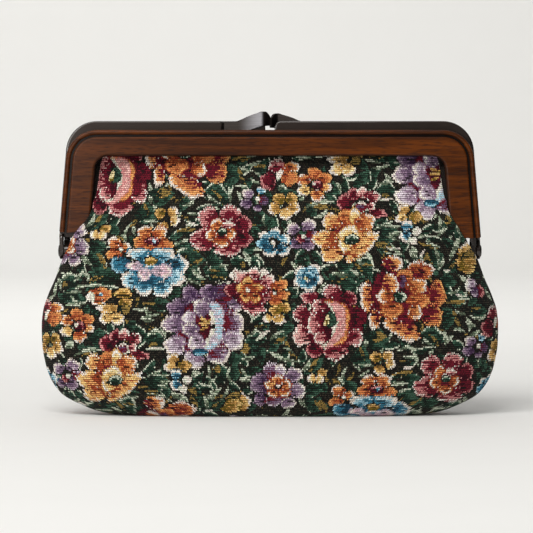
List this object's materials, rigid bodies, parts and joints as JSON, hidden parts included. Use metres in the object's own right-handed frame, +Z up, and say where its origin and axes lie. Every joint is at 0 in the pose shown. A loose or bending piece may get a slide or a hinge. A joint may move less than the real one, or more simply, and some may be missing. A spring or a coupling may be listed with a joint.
{
  "type": "clutch bag",
  "caption": "Frame clutch bag: a soft floral tapestry pouch in a hinged steel snap frame with wooden trim and crossed clasp tongues.",
  "frame": {"origin": "centre of the footprint on the surface that the bag stands on", "axes": "+X along the frame, +Y from front to back, +Z up"},
  "size_m": [0.2772, 0.0634, 0.185],
  "materials": {
    "bronzed_steel": "dark bronzed steel, satin",
    "brushed_clasp": "dark brushed spring steel",
    "walnut_trim": "dark stained wood with fine open grain, satin",
    "tapestry": "woven floral tapestry on a black ground"
  },
  "bodies": {
    "root": {"steel_frame_front": "bronzed_steel", "steel_frame_back": "bronzed_steel", "wood_trim_front": "walnut_trim", "wood_trim_back": "walnut_trim", "clasp_tongue_front": "brushed_clasp", "clasp_tongue_back": "brushed_clasp", "front_panel": "tapestry", "back_panel": "tapestry", "hinge_rivet_left": "bronzed_steel", "hinge_rivet_right": "bronzed_steel"}
  },
  "joints": []
}
